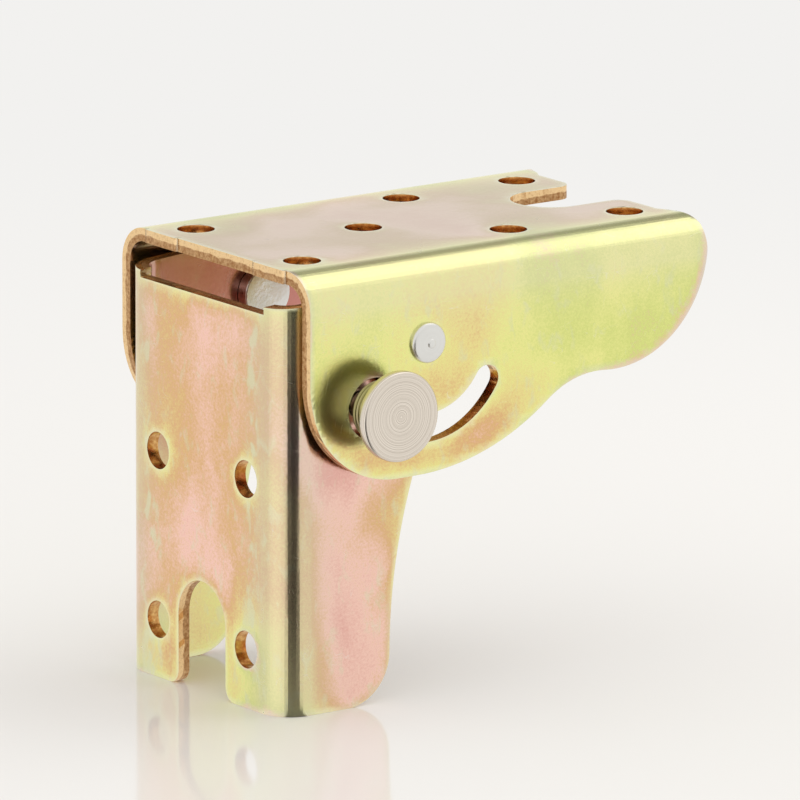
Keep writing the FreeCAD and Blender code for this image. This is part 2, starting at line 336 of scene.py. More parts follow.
    def smears(self, graph: Graph, noises: dict[str, Node], run_off: NodeSocket,
               normal: NodeSocket) -> Node:
        """Pale streaks, strongest on upright faces and where the bath's liquid ran off.

        Args:
            graph: the material's graph.
            noises: the noise textures by name.
            run_off: the stored map of where the liquid ran off.
            normal: the surface's direction.

        Returns:
            The streaks' mask.
        """
        facing = graph.add("ShaderNodeSeparateXYZ", {0: normal})
        level = graph.add("ShaderNodeMath", {0: facing.outputs["Z"]}, operation="ABSOLUTE")
        strength = graph.add("ShaderNodeMapRange", {
            "Value": level, "To Min": self.smear_on_upright, "To Max": self.smear_on_level})
        held = graph.add("ShaderNodeMapRange", {
            "Value": noises["patches"], "From Min": self.run_off_from, "From Max": self.run_off_full})
        drained = graph.add("ShaderNodeMath", {0: run_off, 1: held}, operation="MULTIPLY")
        ragged = graph.add("ShaderNodeMath", {0: drained, 1: self.run_off_spread, 2: noises["streaks"]},
                           operation="MULTIPLY_ADD")
        thick = graph.add("ShaderNodeMath", {0: drained, 1: self.run_off_share, 2: strength},
                          operation="MULTIPLY_ADD")
        return graph.add("ShaderNodeMapRange", {
            "Value": ragged, "From Min": self.smear_from, "From Max": self.smear_full, "To Max": thick})

    def scratches(self, graph: Graph, place: NodeSocket) -> Node:
        """Hair-thin curved handling marks, broken into short lengths.

        Args:
            graph: the material's graph.
            place: Object coordinates.

        Returns:
            The marks' mask.
        """
        gaps = graph.add("ShaderNodeTexNoise", {
            "Vector": place, "Scale": 1.0 / (self.scratch_mm * 0.45 * MM), "Detail": 2.0,
            "Roughness": self.noise_roughness})
        kept = graph.add("ShaderNodeMapRange", {
            "Value": gaps, "From Min": self.scratch_from, "From Max": self.scratch_full,
            "To Max": self.scratch_share})
        masks = []
        for stretch, width in (((1.0, 1.0, 0.3), 0.0025), ((0.35, 0.35, 1.3), 0.003)):
            run = graph.add("ShaderNodeMapping", {"Vector": place, "Scale": stretch})
            lines = graph.add("ShaderNodeTexNoise", {
                "Vector": run, "Scale": 1.0 / (self.scratch_mm * MM), "Detail": 2.0,
                "Roughness": self.noise_roughness, "Distortion": 0.3})
            off = graph.add("ShaderNodeMath", {0: lines, 1: 0.5}, operation="SUBTRACT")
            away = graph.add("ShaderNodeMath", {0: off}, operation="ABSOLUTE")
            hair = graph.add("ShaderNodeMapRange", {
                "Value": away, "From Max": width, "To Min": 1.0, "To Max": 0.0})
            masks.append(graph.add("ShaderNodeMath", {0: hair, 1: kept}, operation="MULTIPLY"))
        return graph.add("ShaderNodeMath", {0: masks[0], 1: masks[1]}, operation="MAXIMUM")


@dataclass(frozen=True)
class ShearedEdge:
    """Punched edge of the sheet, plated after cutting.

    It gives the eye a bright, smooth band next to the outer skin where the punch sheared, a darker
    and rougher one below it where the metal tore, and small steps where the punch bit again.
    """

    name: str = "sheared_edge_under_zinc"
    mark_mm: float = 0.45
    mark_height_mm: float = 0.035
    mark_share: float = 0.40
    bite_mm: float = 22.0
    bite_step: float = 0.10
    bite_height_mm: float = 0.16
    bite_rise_from: float = 0.78
    border_mm: float = 2.2
    border_wander_mm: float = 0.9
    border_half_mm: float = 0.08
    shear_mm: float = 0.95
    torn_share: float = 0.62
    mark_on_sheared: float = 0.2
    mark_on_torn: float = 1.0
    roughness_sheared: float = 0.26
    roughness_torn: float = 0.48
    pale: str = "EECB98"
    deep: str = "A06E40"
    nicked: str = "F6E4C8"

    def make(self) -> Material:
        """Builds the material's nodes.

        Returns:
            The finished material.
        """
        material, graph = new_material(self.name)
        place = graph.add("ShaderNodeTexCoord").outputs["Object"]
        marks = graph.add("ShaderNodeTexNoise", {
            "Vector": place, "Scale": 1.0 / (self.mark_mm * MM), "Detail": 4.0, "Roughness": 0.7})
        wander = graph.add("ShaderNodeTexNoise", {
            "Vector": place, "Scale": 1.0 / (self.border_mm * MM), "Detail": 3.0})
        depth = graph.add("ShaderNodeAttribute", attribute_name="sheet_depth").outputs["Fac"]
        below = graph.add("ShaderNodeMath", {0: wander, 1: self.border_wander_mm, 2: depth},
                          operation="MULTIPLY_ADD")
        border = self.shear_mm + self.border_wander_mm / 2.0
        torn = graph.add("ShaderNodeMapRange", {
            "Value": below, "From Min": border - self.border_half_mm,
            "From Max": border + self.border_half_mm})
        spread = graph.add("ShaderNodeMapRange", {
            "Value": marks, "From Min": NOISE_LOW, "From Max": NOISE_HIGH, "To Min": -self.mark_share,
            "To Max": self.mark_share})
        tone = graph.add("ShaderNodeMath", {0: torn, 1: self.torn_share, 2: spread}, operation="MULTIPLY_ADD")
        colour = graph.add("ShaderNodeValToRGB", {"Fac": tone})
        fill_ramp(colour.color_ramp, [(0.0, self.pale), (0.9, self.deep)])
        nicked = graph.add("ShaderNodeAttribute", attribute_name="bite_nick").outputs["Fac"]
        tint = graph.add("ShaderNodeMix", {0: nicked, 6: colour, 7: linear(self.nicked)}, data_type="RGBA")
        bites = graph.add("ShaderNodeTexNoise", {
            "Vector": place, "Scale": 1.0 / (self.bite_mm * MM), "Detail": 0.0})
        count = graph.add("ShaderNodeMath", {0: bites, 1: self.bite_step}, operation="DIVIDE")
        whole = graph.add("ShaderNodeMath", {0: count}, operation="FLOOR")
        rest = graph.add("ShaderNodeMath", {0: count}, operation="FRACT")
        rise = graph.add("ShaderNodeMapRange", {"Value": rest, "From Min": self.bite_rise_from})
        steps = graph.add("ShaderNodeMath", {0: whole, 1: rise}, operation="ADD")
        stepped = graph.add("ShaderNodeBump", {
            "Strength": 1.0, "Distance": self.bite_height_mm * MM, "Height": steps})
        rough = graph.add("ShaderNodeMapRange", {
            "Value": torn, "To Min": self.mark_on_sheared, "To Max": self.mark_on_torn})
        bump = graph.add("ShaderNodeBump", {
            "Strength": rough, "Distance": self.mark_height_mm * MM, "Normal": stepped, "Height": marks})
        gloss = graph.add("ShaderNodeMapRange", {
            "Value": torn, "To Min": self.roughness_sheared, "To Max": self.roughness_torn})
        shader = graph.add("ShaderNodeBsdfPrincipled", {
            "Base Color": tint.outputs[2], "Metallic": 1.0, "Roughness": gloss, "Normal": bump})
        graph.add("ShaderNodeOutputMaterial", {"Surface": shader})
        return material


@dataclass(frozen=True)
class SatinMetal:
    """Plain plated or drawn metal: clear zinc, oiled spring wire or the wall of a punched hole.

    It gives the eye a satin metal with a fine grain and slightly uneven gloss. Hole walls are smooth
    and deep orange and mirror each other, so that holes look dark on one side and glow on the other.
    """

    name: str
    pale: str
    deep: str
    grain_mm: float
    roughness_low: float
    roughness_high: float
    grain_height_mm: float = 0.03
    grain_detail: float = 3.0
    grain_strength: float = 0.10

    def make(self) -> Material:
        """Builds the material's nodes.

        Returns:
            The finished material.
        """
        material, graph = new_material(self.name)
        place = graph.add("ShaderNodeTexCoord").outputs["Object"]
        grain = graph.add("ShaderNodeTexNoise", {
            "Vector": place, "Scale": 1.0 / (self.grain_mm * MM), "Detail": self.grain_detail})
        colour = graph.add("ShaderNodeValToRGB", {"Fac": grain})
        fill_ramp(colour.color_ramp, [(NOISE_LOW, self.deep), (NOISE_HIGH, self.pale)])
        roughness = graph.add("ShaderNodeMapRange", {
            "Value": grain, "From Min": NOISE_LOW, "From Max": NOISE_HIGH, "To Min": self.roughness_low,
            "To Max": self.roughness_high})
        bump = graph.add("ShaderNodeBump", {
            "Strength": self.grain_strength, "Distance": self.grain_height_mm * MM, "Height": grain})
        shader = graph.add("ShaderNodeBsdfPrincipled", {
            "Base Color": colour, "Metallic": 1.0, "Roughness": roughness, "Normal": bump})
        graph.add("ShaderNodeOutputMaterial", {"Surface": shader})
        return material


@dataclass(frozen=True)
class TurnedMetal:
    """Metal faced on a lathe and plated: nickel on the pin, clear zinc on the rivets.

    It gives the eye fine rings about the axis, each a little lighter or darker than the next, and
    a highlight drawn out across the rings. Painted shade darkens it where a shoulder shades it.
    """

    name: str
    pale: str
    deep: str
    ring_mm: float
    ring_height_mm: float
    roughness: float
    dent_height_mm: float = 0.0
    dent_mm: float = 0.5
    drawn_out: float = 0.55
    # Colour of the painted shade where a shoulder shades the metal.
    painted_shade: str = "2E2822"

    def make(self) -> Material:
        """Builds the material's nodes.

        Returns:
            The finished material.
        """
        material, graph = new_material(self.name)
        along = graph.add("ShaderNodeAttribute", attribute_name="turn_mm").outputs["Fac"]
        rings = graph.add("ShaderNodeTexNoise", {
            "W": along, "Scale": 1.0 / self.ring_mm, "Detail": 4.0, "Roughness": 0.75}, noise_dimensions="1D")
        colour = graph.add("ShaderNodeValToRGB", {"Fac": rings})
        fill_ramp(colour.color_ramp, [(0.36, self.deep), (0.58, self.pale)])
        # Painted shade: darker metal where a shoulder shades it.
        shade_share = graph.add("ShaderNodeAttribute", attribute_name="painted_turn_shade").outputs["Fac"]
        tint = graph.add("ShaderNodeMix", {0: shade_share, 6: colour, 7: linear(self.painted_shade)}, data_type="RGBA")
        place = graph.add("ShaderNodeTexCoord").outputs["Object"]
        dents = graph.add("ShaderNodeTexNoise", {"Vector": place, "Scale": 1.0 / (self.dent_mm * MM)})
        struck = graph.add("ShaderNodeBump", {
            "Strength": 0.5, "Distance": self.dent_height_mm * MM, "Height": dents})
        bump = graph.add("ShaderNodeBump", {
            "Strength": 0.5, "Distance": self.ring_height_mm * MM, "Height": rings, "Normal": struck})
        around = graph.add("ShaderNodeTangent", direction_type="RADIAL", axis="Y")
        shader = graph.add("ShaderNodeBsdfPrincipled", {
            "Base Color": tint.outputs[2], "Metallic": 1.0, "Roughness": self.roughness,
            "Anisotropic": self.drawn_out, "Tangent": around, "Normal": bump})
        graph.add("ShaderNodeOutputMaterial", {"Surface": shader})
        return material


NICKEL = TurnedMetal("turned_nickel_plate", "EFE6DA", "BCB0A1", 0.15, 0.015, 0.30)
RIVET_ZINC = TurnedMetal("formed_clear_zinc_plate", "E1E0DC", "DFDEDA", 0.9, 0.001, 0.30, 0.06)
CLEAR_ZINC = SatinMetal("clear_zinc_plate", "D2D4D2", "B9BCBB", 0.7, 0.30, 0.42)
HOLE_WALL = SatinMetal("punched_hole_wall_under_zinc", "E9BC7A", "B87E44", 0.6, 0.2, 0.2, 0.0, 2.0)
SPRING_WIRE = SatinMetal("oiled_spring_wire", "8E8C88", "6C6A67", 0.4, 0.25, 0.35)


def link(name: str, data: ID) -> Object:
    """Puts a mesh, a lamp or a camera in the scene as a new object at the origin.

    Args:
        name: the object's name.
        data: its mesh, lamp or camera.

    Returns:
        The new object.
    """
    thing = bpy.data.objects.new(name, data)
    bpy.context.scene.collection.objects.link(thing)
    return thing


def smooth_piece(name: str, mesh: BMesh) -> Object:
    """Turns an edited mesh into a smooth object, and frees it.

    Args:
        name: the piece's name.
        mesh: the edited mesh.

    Returns:
        The new object.
    """
    for face in mesh.faces:
        face.smooth = True
    data = bpy.data.meshes.new(name)
    mesh.to_mesh(data)
    mesh.free()
    return link(name, data)


def merged_copy(node: str) -> BMesh:
    """The mesh of a node with its loose triangles joined and its flats made whole.

    Args:
        node: the node's name.

    Returns:
        A new editable mesh.
    """
    mesh = bmesh.new()
    mesh.from_mesh(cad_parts[node].data)
    bmesh.ops.remove_doubles(mesh, verts=mesh.verts, dist=0.001 * MM)
    bmesh.ops.dissolve_limit(mesh, angle_limit=math.radians(0.4), verts=mesh.verts, edges=mesh.edges)
    return mesh


def sharp_edges(mesh: BMesh, least_deg: float) -> list[BMEdge]:
    """Edges whose two faces meet at more than an angle.

    Args:
        mesh: the mesh to look at.
        least_deg: the angle, in degrees.

    Returns:
        The sharp edges.
    """
    least = math.radians(least_deg)
    return [edge for edge in mesh.edges if len(edge.link_faces) == 2 and edge.calc_face_angle(0.0) > least]


def cut_across(mesh: BMesh, axis: int, where: float) -> None:
    """Cuts every face of a mesh by a plane across one axis.

    Args:
        mesh: the mesh to cut.
        axis: 0, 1 or 2 for X, Y or Z.
        where: the plane's place on that axis, in metres.
    """
    normal = Vector((0.0, 0.0, 0.0))
    normal[axis] = 1.0
    everything = mesh.verts[:] + mesh.edges[:] + mesh.faces[:]
    bmesh.ops.bisect_plane(mesh, geom=everything, dist=0.002 * MM, plane_co=normal * where, plane_no=normal)


def share_of(distances: np.ndarray, span_mm: tuple[float, float]) -> np.ndarray:
    """How far distances have come between the two ends of a span.

    Args:
        distances: distances in metres.
        span_mm: the span's two ends, in millimetres.

    Returns:
        0 up to the first end, 1 from the second.
    """
    begin, end = span_mm
    return np.clip((distances / MM - begin) / (end - begin), 0.0, 1.0)


@dataclass
class FoldedSheet:
    """One folded and punched channel, made from its solid with real edges and a film map.

    Its web lies across one axis, and its two cheeks lie across Y.

    Args:
        node: the solid's node and the piece's name.
        body: the body that it rides on.
        web_axis: the axis across the web, 0 for X and 2 for Z.
        web_side: 1.0 if the web's outer face looks along that axis, -1.0 if against it.
        bend_mm: outer radius of the bends.
        tones: the film's place along its colours for faces across X, Y and Z.
        pallor: how bleached the film is on faces across X, Y and Z.
        bend_tone: the film's place on the bends.
        bend_pallor: how bleached it is on the bends.
        bend_rub_and_sheen: how far the bends turn near white: film rubbed off by the folding tool, and a
            painted highlight.
        bend_reach_mm: how far the bends' film fades out beyond them.
        outer_round_mm: radius of the punch side's edges.
        inner_round_mm: radius of the other side's edges.
        cell_mm: spacing of the film map's points.
        fringe_mm: how far the film's fringe fades out from a cut edge.
        worn_mm: how far from a cut edge the film is rubbed.
        worn: how far it is rubbed at that edge.
        hole_mm: widest gap between two cut faces that counts as a hole.
        inside_shade_share: how strongly painted shade darkens the inside to dark red where the other channel
            shades it.
        inside_shade_mm: heights along Z where that painted shade begins and is complete.
        inner_tone: how far the film moves along its colours on the inside.
        head_tone: how far it moves inside, where the other channel shelters it.
        tail_tone: how far it moves towards the channel's +X end.
        tail_mm: places along X where that begins and is complete.
        low_tone: how far it moves low on the channel.
        low_mm: depths below Z = 0 where that begins and is complete.
        run_off_mm: places across the channel, in line with holes, where the bath's liquid ran off.
        run_off_wide_mm: how wide it ran.
        bites_mm: distances from the middle plane where the punch's next bite begins, in rising order.
        bite_depth_mm: how far one bite of the front end lies behind the next.
        bite_notch: depth of the notch between two bites, as a share of bite_depth_mm.
        bite_ramp_mm: half width of the step between two bites.
        bite_reach_mm: how far behind the front end the steps fade out.
        nick_mm: how far behind the front end a step's bright nick reaches.
        nick: how bright the nick is.
        nick_fade_mm: distance aside from the step over which a full nick would fade out.
        sharp_deg: least angle of an edge that is rounded.
    """

    node: str
    body: str
    web_axis: int
    web_side: float
    bend_mm: float
    tones: Point
    pallor: Point
    bend_tone: float
    bend_pallor: float
    bend_rub_and_sheen: float
    bend_reach_mm: float = 2.8
    outer_round_mm: float = 0.42
    inner_round_mm: float = 0.14
    cell_mm: float = 1.1
    fringe_mm: float = 0.9
    worn_mm: float = 0.6
    worn: float = 0.42
    hole_mm: float = 9.6
    inside_shade_share: float = 0.50
    inside_shade_mm: tuple[float, float] = (-60.0, -50.0)
    inner_tone: float = 0.16
    head_tone: float = 0.0
    tail_tone: float = 0.0
    tail_mm: tuple[float, float] = (2.0, 26.0)
    low_tone: float = 0.0
    low_mm: tuple[float, float] = (15.0, 25.0)
    run_off_mm: tuple[float, ...] = ()
    run_off_wide_mm: float = 2.0
    bites_mm: tuple[float, ...] = ()
    bite_depth_mm: float = 0.3
    bite_notch: float = 1.5
    bite_ramp_mm: float = 0.14
    bite_reach_mm: float = 2.5
    nick_mm: float = 1.2
    nick: float = 0.6
    nick_fade_mm: float = 0.25
    sharp_deg: float = 32.0

    def __post_init__(self) -> None:
        """Takes the channel's outer faces from its solid."""
        self.low, self.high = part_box(self.node)
        self.web_face = (self.high if self.web_side > 0.0 else self.low)[self.web_axis]

    def past_bends(self, place: Sequence[float]) -> tuple[float, float]:
        """How far a place lies past the lines where cheek and web begin to bend.

        Args:
            place: a place on the sheet, in metres.

        Returns:
            Metres past the line towards the cheek's and the web's outer face, negative before it.
        """
        bend = self.bend_mm * MM
        ahead = self.web_side * (place[self.web_axis] - self.web_face) + bend
        return abs(place[1]) - self.high.y + bend, ahead

    def out_of(self, place: Sequence[float]) -> Vector:
        """Vector out of the channel, from the bends' inner line to a place.

        Args:
            place: a place on the sheet, in metres.

        Returns:
            The vector, with no part along the bends.
        """
        across, ahead = self.past_bends(place)
        way = Vector((0.0, math.copysign(max(across, 0.0), place[1]), 0.0))
        way[self.web_axis] = self.web_side * max(ahead, 0.0)
        return way

    def is_cut(self, place: Vector, normal: Vector) -> bool:
        """Tells a face across the sheet from its skins.

        Args:
            place: the face's middle, in metres.
            normal: the face's direction.

        Returns:
            True for ends, outline, hole, slot and notch walls.
        """
        across, ahead = self.past_bends(place)
        if ahead < 0.0:
            return abs(normal.y) < 0.5
        if across < 0.0:
            return abs(normal[self.web_axis]) < 0.5
        return abs(normal[2 - self.web_axis]) > 0.5

    def from_bends(self, place: Sequence[float]) -> float:
        """How far a place lies from the bends, in millimetres."""
        return max(-min(self.past_bends(place)), 0.0) / MM

    def build(self) -> Object:
        """Rounds the edges, cuts the faces into small cells and stores the film map.

        Returns:
            The channel's object.
        """
        mesh = merged_copy(self.node)
        self.mark_cut_faces(mesh)
        self.round_edges(mesh)
        self.cut_into_cells(mesh)
        if self.bites_mm:
            self.step_front_end(mesh)
        piece = smooth_piece(self.node + "_sheet", mesh)
        self.store_film_map(piece.data)
        shade = piece.modifiers.new("even_shading", "WEIGHTED_NORMAL")
        shade.weight = 60
        return piece

    def mark_cut_faces(self, mesh: BMesh) -> None:
        """Gives faces across the sheet's thickness the finish of a cut edge or of a hole's wall.

        Args:
            mesh: the channel's mesh.
        """
        solid = BVHTree.FromBMesh(mesh)
        for face in mesh.faces:
            middle = face.calc_center_median()
            skin = Skin.PLATED
            if self.is_cut(middle, face.normal):
                start = middle + face.normal * 0.01 * MM
                opposite = solid.ray_cast(start, face.normal, self.hole_mm * MM)[0]
                skin = Skin.CUT if opposite is None else Skin.HOLE
            face.material_index = skin.value

    def round_edges(self, mesh: BMesh) -> None:
        """Rounds the punch side's edges well and the other side's a little.

        Args:
            mesh: the channel's mesh, with its cut faces marked.
        """
        for outer, radius, skin in ((True, self.outer_round_mm, Skin.PLATED),
                                    (False, self.inner_round_mm, Skin.CUT)):
            chosen = [edge for edge in sharp_edges(mesh, self.sharp_deg) if self.on_outside(edge) == outer]
            bmesh.ops.bevel(mesh, geom=chosen, offset=radius * MM, offset_type="OFFSET", segments=3,
                            profile=0.5, affect="EDGES", clamp_overlap=True, material=skin.value)

    def outward(self, place: Vector, normal: Vector) -> float:
        """How far a direction at a place points out of the channel, from -1 to 1."""
        return normal.dot(self.out_of(place).normalized())

    def on_outside(self, edge: BMEdge) -> bool:
        """Tells an edge on the channel's outside from one on its inside.

        Args:
            edge: an edge between a cut face and a skin.

        Returns:
            True if the edge borders the outer skin.
        """
        middle = (edge.verts[0].co + edge.verts[1].co) / 2.0
        return any(face.material_index == Skin.PLATED.value and self.outward(middle, face.normal) > 0.3
                   for face in edge.link_faces)

    def cut_into_cells(self, mesh: BMesh) -> None:
        """Cuts every face by evenly spaced planes, so that the film map has points to live on.

        Args:
            mesh: the channel's mesh.
        """
        for axis in range(3):
            length = self.high[axis] - self.low[axis]
            count = int(length / (self.cell_mm * MM))
            for step in range(1, count):
                cut_across(mesh, axis, self.low[axis] + length * step / count)

    def step_front_end(self, mesh: BMesh) -> None:
        """Sets every other bite of the punch back a little at the channel's -X end.

        Args:
            mesh: the channel, already cut into cells.
        """
        for bite in self.bites_mm:
            for place in (-bite, bite):
                for aside in (-self.bite_ramp_mm, 0.0, self.bite_ramp_mm):
                    cut_across(mesh, 1, (place + aside) * MM)
        for vertex in mesh.verts:
            fade = max(1.0 - (vertex.co.x - self.low.x) / (self.bite_reach_mm * MM), 0.0)
            aside = [abs(vertex.co.y) / MM - bite for bite in self.bites_mm]
            passed = sum(1 for distance in aside if distance > 0.01)
            back = 1.0 if passed % 2 == 0 else 0.0
            if min(abs(distance) for distance in aside) < 0.01:
                back = self.bite_notch
            vertex.co.x += self.bite_depth_mm * MM * fade * back

    def store_film_map(self, data: Mesh) -> None:
        """Stores the film's tone, fringe and wear, and its painted highlight and shade, at every point.

        Args:
            data: the finished mesh.
        """
        places = np.zeros(len(data.vertices) * 3, np.float32)
        data.vertices.foreach_get("co", places)
        places = places.reshape(-1, 3)
        normals = np.array([vertex.normal for vertex in data.vertices])
        share = normals ** 2
        near = np.exp(-np.array([self.from_bends(place) for place in places]) / self.bend_reach_mm)
        tone = share @ np.array(self.tones)
        tone += (self.bend_tone - tone) * near
        pale = share @ np.array(self.pallor)
        pale += (self.bend_pallor - pale) * near
        inside = np.array([self.outward(Vector(place), Vector(normal)) < -0.6
                           for place, normal in zip(places, normals)])
        # Painted shade: the inside darkens to dark red where the other channel shades it, fading in with
        # height.
        shade_zone = inside * share_of(places[:, 2], self.inside_shade_mm)
        tone += inside * self.inner_tone + shade_zone * self.head_tone
        tone += self.low_tone * share_of(-places[:, 2], self.low_mm)
        tone += self.tail_tone * share_of(places[:, 0], self.tail_mm)
        reach = self.reach_of_cuts(data, places)
        # Near the bends the wear also carries a painted highlight.
        worn = np.maximum(self.worn * np.clip(1.0 - reach / self.worn_mm, 0.0, 1.0), self.bend_rub_and_sheen * near)
        nicked = self.nicks(places)
        depth = np.array([self.bend_mm - self.out_of(Vector(place)).length / MM for place in places])
        maps = {"film_tone": tone, "edge_fringe": np.exp(-reach / self.fringe_mm),
                "worn_and_bend_sheen": np.maximum(worn, nicked), "film_pale": pale, "painted_inside_shade": self.inside_shade_share * shade_zone,
                "sheet_depth": depth, "run_off": share[:, 0] * self.run_off(places), "bite_nick": nicked}
        for name, values in maps.items():
            stored = data.attributes.new(name, "FLOAT", "POINT")
            stored.data.foreach_set("value", values.astype(np.float32))

    def nicks(self, places: np.ndarray) -> np.ndarray:
        """How brightly every point shows a nick between two bites of the punch.

        Args:
            places: the mesh's points.

        Returns:
            The nicks' map, from 0 to 1.
        """
        nicked = np.zeros(len(places))
        at_front = places[:, 0] < self.low.x + self.nick_mm * MM
        for bite in self.bites_mm:
            aside = np.abs(np.abs(places[:, 1]) / MM - bite)
            nicked = np.maximum(nicked, np.clip(self.nick - aside / self.nick_fade_mm, 0.0, 1.0) * at_front)
        return nicked

    def run_off(self, places: np.ndarray) -> np.ndarray:
        """How near every point lies to where the bath's liquid ran off.

        Args:
            places: the mesh's points.

        Returns:
            The run-off's map, from 0 to 1.
        """
        drained = np.zeros(len(places))
        for column in self.run_off_mm:
            aside = (places[:, 1] / MM - column) / self.run_off_wide_mm
            drained = np.maximum(drained, np.exp(-aside ** 2))
        return drained

    @staticmethod
    def reach_of_cuts(data: Mesh, places: np.ndarray) -> np.ndarray:
        """How far every point lies from the nearest cut face.

        Args:
            data: the finished mesh.
            places: its points.

        Returns:
            The distances in millimetres.
        """
        on_cut = sorted({index for face in data.polygons if face.material_index != Skin.PLATED.value
                         for index in face.vertices})
        tree = KDTree(len(on_cut))
        for slot, index in enumerate(on_cut):
            tree.insert(places[index], slot)
        tree.balance()
        return np.array([tree.find(place)[2] for place in places]) / MM

    def dress(self, piece: Object, finishes: dict[Skin, Material]) -> None:
        """Gives the channel its finishes and its body.

        Args:
            piece: the channel's object.
            finishes: the finish of each kind of face.
        """
        for skin in Skin:
            piece.data.materials.append(finishes[skin])
        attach(piece, self.body)
        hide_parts(self.node)


@dataclass
class TopChannel(FoldedSheet):
    """Top channel, which opens downwards and takes in the folded leg."""

    node: str = "top_bracket"
    body: str = "top"
    web_axis: int = 2
    web_side: float = 1.0
    bend_mm: float = 5.5
    tones: Point = (0.40, 0.60, 0.22)
    pallor: Point = (0.0, 0.0, 0.68)
    bend_tone: float = 0.58
    bend_pallor: float = 0.12
    bend_rub_and_sheen: float = 0.20
    inside_shade_share: float = 0.32
    tail_tone: float = 0.13
    low_tone: float = -0.27
    bites_mm: tuple[float, ...] = (9.5, 17.3)


@dataclass
class LegChannel(FoldedSheet):
    """Leg channel, which opens towards +X and has its head inside the top channel."""

    node: str = "leg_bracket"
    body: str = "leg"
    web_axis: int = 0
    web_side: float = -1.0
    bend_mm: float = LEG_BEND_MM
    tones: Point = (0.32, 0.12, 0.40)
    pallor: Point = (0.0, 0.08, 0.0)
    bend_tone: float = 0.36
    bend_pallor: float = 0.42
    bend_rub_and_sheen: float = 0.10
    inside_shade_mm: tuple[float, float] = (-40.0, -25.0)
    head_tone: float = -0.32
    low_tone: float = 0.13
    low_mm: tuple[float, float] = (46.0, 62.0)
    run_off_mm: tuple[float, ...] = (-12.65, 12.65)


@dataclass
class SmallPart:
    """A small part taken over from its solid, with softened edges.

    Args:
        node: the solid's node and the piece's name.
        body: the body that it rides on.
        slot: the record's material slot; not used.
        edge_mm: how far its edges are softened.
    """

    node: str
    body: str
    slot: str
    edge_mm: float = 0.12

    def build(self) -> Object:
        """Softens the solid's edges.

        Returns:
            The part's object.
        """
        mesh = merged_copy(self.node)
        bmesh.ops.bevel(mesh, geom=sharp_edges(mesh, 30.0), offset=self.edge_mm * MM, offset_type="OFFSET",
                        segments=2, profile=0.5, affect="EDGES", clamp_overlap=True)
        piece = smooth_piece(self.node + "_turned", mesh)
        piece.modifiers.new("even_shading", "WEIGHTED_NORMAL")
        return piece

    def dress(self, piece: Object, material: Material) -> None:
        """Gives the part its metal and its body.

        Args:
            piece: the part's object.
            material: its finished material.
        """
        piece.data.materials.append(material)
        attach(piece, self.body)
        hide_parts(self.node)


def rounded(radius: float, start: float, edge: float, steps: int = 4) -> Outline:
    """Outline points round an outer corner that begins a larger diameter.

    Args:
        radius: the larger radius, in millimetres.
        start: where the diameter begins.
        edge: the corner's radius.
        steps: segments round the corner.

    Returns:
        Outline points.
    """
    points = []
    for step in range(steps + 1):
        angle = math.pi / 2.0 * step / steps
        points.append((radius - edge + edge * math.sin(angle), start + edge - edge * math.cos(angle)))
    return points


@dataclass
class LathedPart(SmallPart):
    """A small part turned from an outline about an axis along Y.

    Args:
        side: -1.0 if the outline runs towards the knob's side, 1.0 if towards the far side.
        steps: segments round the axis.
        sharp_deg: least angle of an edge that looks sharp.
    """

    side: float = -1.0
    steps: int = 96
    sharp_deg: float = 35.0

    def profile(self) -> Outline:
        """The outline from axis to axis: (radius, distance from Y = 0) points in millimetres."""
        raise NotImplementedError

    def painted_shade(self, radius: float, distance: float) -> float:
        """How much painted shade darkens a point of the outline, from 0 to 1."""
        return 0.0

    def build(self) -> Object:
        """Turns the outline, and stores every point's way along it.

        Returns:
            The part's object, smooth but for its sharp corners.
        """
        low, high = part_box(self.node)
        axis = (low + high) / 2.0
        profile = self.profile()
        mesh = bmesh.new()
        turn_mm = mesh.verts.layers.float.new("turn_mm")
        painted_turn_shade = mesh.verts.layers.float.new("painted_turn_shade")
        rows = []
        along = 0.0
        last = profile[0]
        for radius, distance in profile:
            along += math.hypot(radius - last[0], distance - last[1])
            last = (radius, distance)
            # Painted shade at this point of the outline.
            shade_share = self.painted_shade(radius, distance)
            row = []
            for step in range(1 if radius == 0.0 else self.steps):
                turn = 2.0 * math.pi * step / self.steps
                vertex = mesh.verts.new((axis.x + radius * MM * math.cos(turn), self.side * distance * MM,
                                         axis.z + radius * MM * math.sin(turn)))
                vertex[turn_mm] = along
                vertex[painted_turn_shade] = shade_share
                row.append(vertex)
            rows.append(row)
        for first, second in zip(rows, rows[1:]):
            for step in range(self.steps):
                corners = [first[step % len(first)], first[(step + 1) % len(first)],
                           second[(step + 1) % len(second)], second[step % len(second)]]
                mesh.faces.new(list(dict.fromkeys(corners)))
        bmesh.ops.recalc_face_normals(mesh, faces=mesh.faces)
        for edge in mesh.edges:
            edge.smooth = edge.calc_face_angle(0.0) < math.radians(self.sharp_deg)
        return smooth_piece(self.node + "_turned", mesh)


